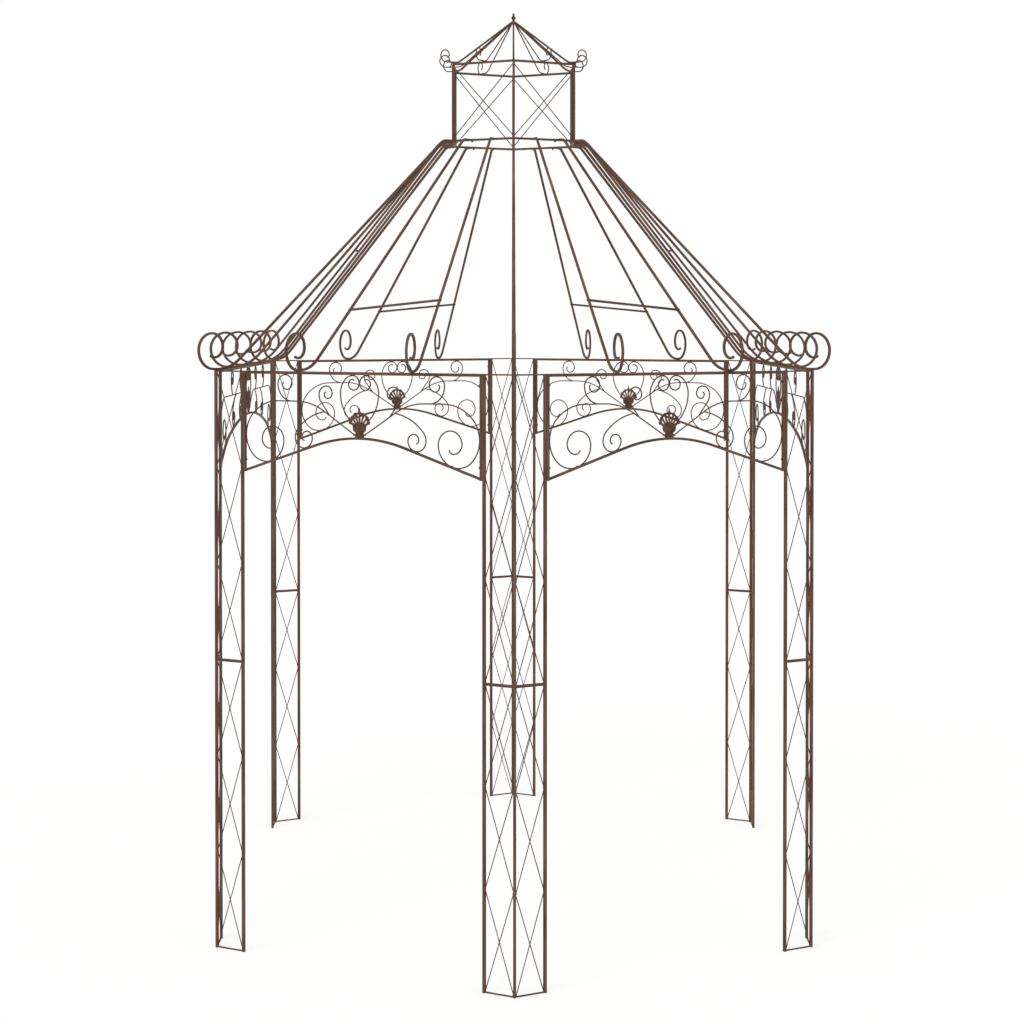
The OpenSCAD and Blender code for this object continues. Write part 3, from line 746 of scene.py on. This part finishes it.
def grown(name, points, tree, ids, values):
    """Runs a tree on points with axes and keeps the result as a plain mesh."""
    mesh = bpy.data.meshes.new(name + "_points")
    mesh.from_pydata([tuple(np.asarray(p) / 1000) for p, _ in points], [], [])
    axis = mesh.attributes.new("axis", "FLOAT_VECTOR", "POINT")
    axis.data.foreach_set("vector", np.array([a for _, a in points], float).ravel())
    obj = linked(name, mesh)
    modifier = obj.modifiers.new("grow", "NODES")
    modifier.node_group = tree
    for key, value in values.items():
        modifier[ids[key]] = value
    if not settled(obj).polygons:
        raise RuntimeError(f"{name} came out empty")
    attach(obj, "root")


# Operators
class PERGOLA_OT_finishes(bpy.types.Operator):
    """Make the coat of the tubes and wires, the castings' paint and the nuts' plating"""
    bl_idname = "pergola.finishes"
    bl_label = "Finishes"

    def execute(self, context):
        finish = context.scene.pergola_finish
        length, width = finish.streak_length, finish.streak_width
        coat_material("antique_brown_tube", finish, 1.0, length, width)
        length, width = length * WIRE_STREAK[0], width * WIRE_STREAK[1]
        coat_material("antique_brown_wire", finish, WIRE_SHADE, length, width)
        casting_material(finish)
        fastener_material(finish)
        return {"FINISHED"}


class PERGOLA_OT_posts(bpy.types.Operator):
    """Build the corner posts from rounded tube and crossed round wire"""
    bl_idname = "pergola.posts"
    bl_label = "Posts"

    def execute(self, context):
        fittings = context.scene.pergola_fittings
        tube = square_bar(POST_BAR, corner=fittings.tube_corner)
        for k, corner in enumerate(CORNERS):
            for level, storey in enumerate(("lower", "upper")):
                work, foot = Work(), np.append(POSTS[k], level * HALF_H)
                work.line(foot, foot + UP * HALF_H, along_side(k, 60), tube)
                for turn in (0, 120):
                    self.lattice(work, foot, along_side(k, turn), tube, fittings.wire_lap)
                work.replace(f"post_{corner}_{storey}")
        return {"FINISHED"}

    def lattice(self, work, foot, along, tube, wire_lap):
        """One side of a post's section: its outer tube, the crossed wires and the struts."""
        flat, rod = square_bar(WIRE, STRUT, STRUT_CORNER), round_wire(THIN)
        across = np.cross(along, UP)
        far = foot + along * POST_W
        work.line(far, far + UP * HALF_H, along, tube)
        for i in range(CELLS):
            low, high = STRUT / 2 + i * CELL_H + WIRE / 2, STRUT / 2 + (i + 1) * CELL_H - WIRE / 2
            for lap, a, b in ((1, low, high), (-1, high, low)):
                off = across * lap * wire_lap
                work.line(foot + along * WIRE + UP * a + off, far - along * WIRE + UP * b + off,
                          across, rod, 1)
        for z in (STRUT / 2, HALF_H - STRUT / 2):
            work.line(foot + UP * z, far + UP * z, across, flat)


class PERGOLA_OT_panels(bpy.types.Operator):
    """Build the arched panels with their scrolls of round wire"""
    bl_idname = "pergola.panels"
    bl_label = "Arch panels"

    def execute(self, context):
        corner = context.scene.pergola_fittings.tube_corner
        tube, arch = square_bar(PANEL_BAR, corner=corner), square_bar(ARCH_BAR, corner=corner)
        for k, name in enumerate(SIDES):
            self.panel(k, tube, arch).replace(f"panel_{name}")
        return {"FINISHED"}

    def panel(self, k, tube, arch):
        """One panel: the rail and the arched bar, then each half's end bar and scrolls."""
        long, work, rod = is_long(k), Work(), round_wire(same_section(WIRE))
        half = panel_sizes(long)[0]
        middle, along = side_frame(k)
        across = np.cross(along, UP)
        end, rail = half - PANEL_BAR / 2, POST_H - PANEL_BAR / 2

        def placed(flat, way=1):
            return middle + way * flat[:, :1] * along + flat[:, 1:] * UP

        work.sweep(placed(np.array(((-half, rail), (half, rail)))), across, tube)
        arched = arch_line(end, long)
        work.sweep(placed(np.vstack((arched[::-1] * (-1, 1), arched[1:]))), across, arch)
        low, high = arch_z(end, long) - ARCH_BAR / 2, POST_H - PANEL_BAR + BITE
        for way in (1, -1):
            work.sweep(placed(np.array(((end, low), (end, high))), way), across, tube)
            for wire in scrolls(long):
                work.sweep(placed(wire, way), across, rod, 1)
        return work


class PERGOLA_OT_shells(bpy.types.Operator):
    """Round the shells into castings"""
    bl_idname = "pergola.shells"
    bl_label = "Shells"

    def execute(self, context):
        for k, name in enumerate(SIDES):
            node = f"shell_{name}"
            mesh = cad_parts[node].data.copy()
            bm = bmesh.new()
            bm.from_mesh(mesh)
            bmesh.ops.remove_doubles(bm, verts=bm.verts, dist=1e-5)
            bm.to_mesh(mesh)
            bm.free()
            mesh.materials.clear()
            obj = linked(f"{node}_casting", mesh)
            skin = obj.modifiers.new("skin", "REMESH")
            skin.mode, skin.use_smooth_shade = "VOXEL", True
            skin.voxel_size = context.scene.pergola_fittings.cast_grain
            soft = obj.modifiers.new("soft", "SMOOTH")
            soft.factor, soft.iterations = CAST_SOFT
            cast = settled(obj)
            points = np.empty(len(cast.vertices) * 3)
            cast.vertices.foreach_get("co", points)
            cast.vertices.foreach_set("co", self.cast_form(points.reshape(-1, 3), k).ravel())
            cast.update()
            cast.materials.clear()
            cast.materials.append(ready("painted_cast_iron"))
            cast.shade_smooth()
            seat(obj, node)
        return {"FINISHED"}

    def cast_form(self, points, k):
        """A shell's points in metres, with longer gaps, a slimmer rim and a fuller body than the solid."""
        middle, along = side_frame(k)
        local = points * 1000 - middle - UP * (panel_sizes(is_long(k))[1] + ARCH_BAR / 2)
        x, z = local @ along, local[:, 2]
        rise = z - SHELL_RISE
        r, angle = np.maximum(np.hypot(x, rise), 0.01), np.degrees(np.arctan2(np.abs(x), rise))
        aside = np.minimum(angle / (SHELL_SPREAD / 2), 1) ** 2
        short = 1 - (1 - LAST_RIB / SHELL_R) * aside
        base, gap, rim = FAN_SOLID[0], FAN_SOLID[1] * short, FAN_SOLID[2] * short
        base_to = FAN_CAST[0] + (SIDE_BASE - FAN_CAST[0]) * aside
        gap_to, rim_to = FAN_CAST[1] * short, FAN_CAST[2] * short
        drawn = np.select([r < base, r < gap, r < rim],
                          [r * base_to / base,
                           base_to + (r - base) * (gap_to - base_to) / (gap - base),
                           gap_to + (r - gap) * (rim_to - gap_to) / (rim - gap)], r + rim_to - rim)
        fan = np.clip((FAN_FADE[1] - angle) / (FAN_FADE[1] - FAN_FADE[0]), 0, 1)
        scale = 1 + (drawn / r - 1) * fan
        out = x * (np.interp(z, FORM_Z, FORM_W) * scale - 1)
        return points + (out[:, None] * along + (rise * (scale - 1))[:, None] * UP) / 1000


class PERGOLA_OT_roof(bpy.types.Operator):
    """Build the hips, rafters and cross ties"""
    bl_idname = "pergola.roof"
    bl_label = "Roof"

    def execute(self, context):
        tube = square_bar(RAFTER, corner=context.scene.pergola_fittings.tube_corner)
        for k, corner in enumerate(CORNERS):
            work = Work()
            self.rafter(work, LANTERN[k], POSTS[k], tube)
            work.replace(f"hip_{corner}")
        for k, name in enumerate(SIDES):
            work = Work()
            for t in rafter_places(k):
                self.rafter(work, between(LANTERN, k, t), between(POSTS, k, t), tube)
            work.replace(f"rafters_{name}")
        for node, sides in (("short_side_ties", SHORT_SIDES), ("long_side_ties", LONG_SIDES)):
            work = Work()
            for k in sides:
                p, q = tie_ends(k)
                d = (q - p) / np.linalg.norm(q - p)
                side = np.cross(np.cross(d, UP), d)
                work.line(p - d * TIE_PAST, q + d * TIE_PAST, side / np.linalg.norm(side), tube)
            work.replace(node)
        return {"FINISHED"}

    def rafter(self, work, p, q, tube):
        """One rafter, which starts inside the lantern's ring."""
        path = rafter_path(p, q)
        d = np.append(q - p, 0) / np.linalg.norm(q - p)
        path[0] = path[0] + RING_BAR * RING_SEAT * d
        work.sweep(path, np.cross(d, UP), tube)


class PERGOLA_OT_lantern(bpy.types.Operator):
    """Build the lantern, its roof and the finial"""
    bl_idname = "pergola.lantern"
    bl_label = "Lantern"

    def execute(self, context):
        fittings = context.scene.pergola_fittings
        ring = square_bar(RING_BAR, corner=fittings.tube_corner)
        for node, z in (("lantern_lower_ring", RING_Z), ("lantern_upper_ring", UPPER_Z)):
            work = Work()
            work.sweep(np.column_stack((LANTERN, np.full(6, z))), UP, ring, closed=True)
            work.replace(node)
        self.cage(fittings).replace("lantern_cage")
        self.roof(fittings).replace("lantern_roof")
        collar = self.collar()
        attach(collar, "root")
        seat(self.finial(), "finial")
        return {"FINISHED"}

    def cage(self, fittings):
        """The uprights, and the crossed wires between them."""
        post, rod = square_bar(UPRIGHT, corner=fittings.tube_corner), round_wire(same_section(THIN))
        work, low, high = Work(), RING_Z + RING_BAR / 2, UPPER_Z - RING_BAR / 2
        for k in range(6):
            p, q = LANTERN[k], LANTERN[(k + 1) % 6]
            work.line(np.append(p, low), np.append(p, high), turned(60 * k), post)
            across = np.cross(along_side(k), UP)
            for lap, a, b in ((1, p, q), (-1, q, p)):
                off = across * lap * fittings.wire_lap
                work.line(np.append(a, low + WIRE) + off, np.append(b, high - WIRE) + off, across, rod, 1)
        return work

    def roof(self, fittings):
        """A bar over each upright and a wire over each side, from the collar to the ring, and their curls."""
        rib, rod = square_bar(CAP_BAR, corner=fittings.tube_corner), round_wire(same_section(WIRE))
        work = Work()
        for k in range(6):
            side_middle = between(LANTERN, k, 0.5)
            for q, profile, size, kind in ((LANTERN[k], rib, CAP_BAR, 0), (side_middle, rod, WIRE, 1)):
                drop, begin = CAP_H - RING_BAR / 2 - size / 2, COLLAR_R * COLLAR_SEAT
                reach = np.linalg.norm(q)
                slope, straight = rake(reach - begin - CAP_BAR, drop, CAP_FLARE_R)
                side = np.append((q[1], -q[0]), 0) / reach
                flat = chain([(straight, 0), (CAP_FLARE_R, slope), (CAP_LEAD, 0)], (begin, CAP_Z), -slope)
                work.sweep(upright_path(flat, np.zeros(2), q), side, profile, kind)
                curl = chain([(CAP_REACH, 0)] + CAP_CURLS, (reach, UPPER_Z + RING_BAR / 2 + size / 2), 0)
                work.sweep(upright_path(curl, np.zeros(2), q), side, rod, 1)
        return work

    def collar(self):
        """The collar that the roof's bars meet in, chamfered below and rounded above."""
        r, low, high = COLLAR_R, CAP_Z - COLLAR_H / 2, CAP_Z + COLLAR_H / 2
        outline = [(0, low), (r - COLLAR_CHAMFER, low), (r, low + COLLAR_CHAMFER)]
        outline += [(r - a, high - b) for a, b in COLLAR_SHOULDER] + [(0, high)]
        return lathe("lantern_collar", outline)

    def finial(self):
        """The finial on the collar: a foot, a ball, a neck and a knob."""
        b, c, z, h = BALL_D / 2, KNOB_D / 2, CAP_Z + COLLAR_H / 2, FINIAL_H
        foot = [(b * r, z + up) for r, up in FINIAL_FOOT]
        ball = [(b * cos(a), z + h * BALL_PLACE + b * sin(a)) for a in BALL_ARC]
        neck = [(b * FINIAL_NECK[0], z + h * FINIAL_NECK[1])]
        knob = [(c * cos(a), z + h - c + c * sin(a)) for a in KNOB_ARC]
        return lathe("finial_casting", foot + ball + neck + knob + [(0, z + h)])


class PERGOLA_OT_nuts(bpy.types.Operator):
    """Set cap nuts under the lantern's lower ring and at the panels' ends"""
    bl_idname = "pergola.nuts"
    bl_label = "Cap nuts"

    def execute(self, context):
        fittings = context.scene.pergola_fittings
        points = []
        for k in range(6):
            if not is_long(k):
                t = rafter_places(k)[1]
                beside = between(LANTERN, k, t + (0.5 - t) * NUT_ASIDE)
                points.append((np.append(beside, RING_Z - RING_BAR / 2), -UP))
            half = panel_sizes(is_long(k))[0]
            middle, along = side_frame(k)
            low = arch_z(half - PANEL_BAR / 2, is_long(k))
            for way in (1, -1):
                for z in (low + BOLT_IN, POST_H - BOLT_IN):
                    points.append((middle + along * way * (half - PANEL_BAR) + UP * z, -along * way))
        grown("cap_nuts", points, *cap_nut_tree(), {
            "Radius": fittings.nut_radius, "Height": fittings.nut_height, "Material": ready("bronzed_steel")})
        return {"FINISHED"}


class PERGOLA_OT_welds(bpy.types.Operator):
    """Set weld beads where wires cross and meet the bars"""
    bl_idname = "pergola.welds"
    bl_label = "Welds"

    def execute(self, context):
        points = []
        for k in range(6):
            for turn in (0, 120):
                for level in (0, 1):
                    points += self.lattice(np.append(POSTS[k], level * HALF_H), along_side(k, turn))
        for k in range(6):
            p, q = LANTERN[k], LANTERN[(k + 1) % 6]
            points.append((np.append((p + q) / 2, (RING_Z + UPPER_Z) / 2), UP))
            middle, along = side_frame(k)
            for wire in scrolls(is_long(k)):
                for x, z in self.rests(wire, is_long(k)):
                    points += [(middle + along * way * x + UP * z, along) for way in (1, -1)]
        radius = context.scene.pergola_fittings.weld_radius
        grown("weld_beads", points, *weld_tree(), {"Radius": radius, "Material": ready("painted_cast_iron")})
        return {"FINISHED"}

    def lattice(self, foot, along):
        """Where the wires of one side of a post's section cross and meet its tubes."""
        found = []
        for i in range(CELLS):
            found.append((foot + along * POST_W / 2 + UP * (STRUT / 2 + (i + 0.5) * CELL_H), UP))
        for i in range(CELLS + 1):
            z = min(max(STRUT / 2 + i * CELL_H, STRUT + WELD_END), HALF_H - STRUT - WELD_END)
            found += [(foot + along * x + UP * z, UP) for x in (POST_BAR / 2, POST_W - POST_BAR / 2)]
        return found

    def rests(self, wire, long):
        """Where a scroll touches the rail, the end bar or the arched bar."""
        end, found = panel_sizes(long)[0] - PANEL_BAR, []
        top = wire[:, 1].argmax()
        if wire[top, 1] > POST_H - PANEL_BAR - WIRE:
            found.append((wire[top, 0], POST_H - PANEL_BAR))
        out = wire[:, 0].argmax()
        if wire[out, 0] > end - WIRE:
            found.append((end, wire[out, 1]))
        over = np.array([z - arch_z(abs(x), long) - ARCH_BAR / 2 for x, z in wire])
        low = over.argmin()
        if over[low] < WIRE and wire[low, 0] > SHELL_CLEAR:
            found.append((wire[low, 0], wire[low, 1] - over[low]))
        return found


# Stage: the lamps' turns and softness in degrees, the floor and its white to the eye, the camera's reach
LAMPS = {"key": ((52, 0, -28), 40), "fill": ((58, 0, 55), 60)}
FLOOR_R, FLOOR_Z, FLOOR_WHITE, FLOOR_SHARE = 60, -0.002, 1.02, 0.72
SENSOR, FAR = 36, 200
WHITE = grey(1.0)


class PERGOLA_OT_stage(bpy.types.Operator):
    """Set the floor, the light and the camera"""
    bl_idname = "pergola.stage"
    bl_label = "Stage"

    def execute(self, context):
        stage = context.scene.pergola_stage
        context.scene.view_settings.view_transform = "Standard"
        self.floor(stage)
        self.lights(stage)
        self.surround(context.scene, stage)
        self.camera(context.scene, stage)
        return {"FINISHED"}

    def seen(self, tree):
        """1 for rays straight from the eye."""
        return add(tree, "ShaderNodeLightPath").outputs["Is Camera Ray"]

    def floor(self, stage):
        """A wide floor, near white to the eye, which keeps the part's shadow."""
        mesh = bpy.data.meshes.new("floor")
        bm = bmesh.new()
        bmesh.ops.create_circle(bm, cap_ends=True, segments=96, radius=FLOOR_R)
        bm.to_mesh(mesh)
        bm.free()
        tree = material_tree("pale_floor")
        lit = add(tree, "ShaderNodeBsdfDiffuse", {}, {"Color": linear(stage.floor)})
        glow = add(tree, "ShaderNodeEmission", {}, {"Color": WHITE, "Strength": FLOOR_WHITE})
        part = add(tree, "ShaderNodeMath", {"operation": "MULTIPLY"}, {1: FLOOR_SHARE}, {0: self.seen(tree)})
        both = add(tree, "ShaderNodeMixShader",
                   links={0: part.outputs[0], 1: lit.outputs[0], 2: glow.outputs[0]})
        add(tree, "ShaderNodeOutputMaterial", links={"Surface": both.outputs[0]})
        mesh.materials.append(ready("pale_floor"))
        floor = linked("floor", mesh)
        floor.location.z = FLOOR_Z

    def lights(self, stage):
        """Two soft suns, the key from the left and the fill from the right."""
        for name, (turn, soft) in LAMPS.items():
            lamp = bpy.data.lights.new(name, "SUN")
            lamp.energy, lamp.angle = getattr(stage, name), radians(soft)
            linked(name, lamp).rotation_euler = Euler([radians(a) for a in turn])

    def surround(self, scene, stage):
        """Even light from all round, which shows as white behind the part."""
        scene.world = scene.world or bpy.data.worlds.new("surround")
        scene.world.use_nodes = True
        tree = scene.world.node_tree
        tree.nodes.clear()
        level = add(tree, "ShaderNodeMix", {"data_type": "FLOAT"}, {2: stage.sky, 3: 1.0},
                    {0: self.seen(tree)})
        ground = add(tree, "ShaderNodeBackground", {}, {"Color": WHITE}, {"Strength": level.outputs[0]})
        add(tree, "ShaderNodeOutputWorld", links={"Surface": ground.outputs[0]})

    def camera(self, scene, stage):
        """The camera of the main view."""
        lens = bpy.data.cameras.new("view")
        lens.sensor_width = SENSOR
        lens.lens = SENSOR / 2 / tan(stage.view_angle / 2)
        lens.shift_y = stage.frame_shift
        lens.clip_end = FAR
        camera = linked("view", lens)
        camera.location = stage.camera_place
        camera.rotation_euler = stage.camera_turn
        scene.camera = camera


class PERGOLA_PT_panel(bpy.types.Panel):
    """Lists the pergola's pieces and their settings"""
    bl_idname = "PERGOLA_PT_panel"
    bl_label = "Iron pergola"
    bl_space_type = "VIEW_3D"
    bl_region_type = "UI"
    bl_category = "Pergola"

    def draw(self, context):
        for group in GROUPS:
            box = self.layout.box()
            settings = getattr(context.scene, group)
            for name in settings.__annotations__:
                box.prop(settings, name)
        for step in STEPS:
            self.layout.operator(step.bl_idname)


STEPS = (PERGOLA_OT_finishes, PERGOLA_OT_posts, PERGOLA_OT_panels, PERGOLA_OT_shells, PERGOLA_OT_roof,
         PERGOLA_OT_lantern, PERGOLA_OT_nuts, PERGOLA_OT_welds, PERGOLA_OT_stage)
GROUPS = {"pergola_finish": PergolaFinish, "pergola_fittings": PergolaFittings, "pergola_stage": PergolaStage}
CLASSES = (*GROUPS.values(), *STEPS, PERGOLA_PT_panel)


def register():
    for cls in CLASSES:
        bpy.utils.register_class(cls)
    for name, cls in GROUPS.items():
        setattr(bpy.types.Scene, name, PointerProperty(type=cls))


def unregister():
    for name in GROUPS:
        delattr(bpy.types.Scene, name)
    for cls in reversed(CLASSES):
        bpy.utils.unregister_class(cls)


def main():
    register()
    bpy.ops.pergola.finishes()
    bpy.ops.pergola.posts()
    bpy.ops.pergola.panels()
    bpy.ops.pergola.shells()
    bpy.ops.pergola.roof()
    bpy.ops.pergola.lantern()
    bpy.ops.pergola.nuts()
    bpy.ops.pergola.welds()
    bpy.ops.pergola.stage()


if __name__ == "__main__":
    main()
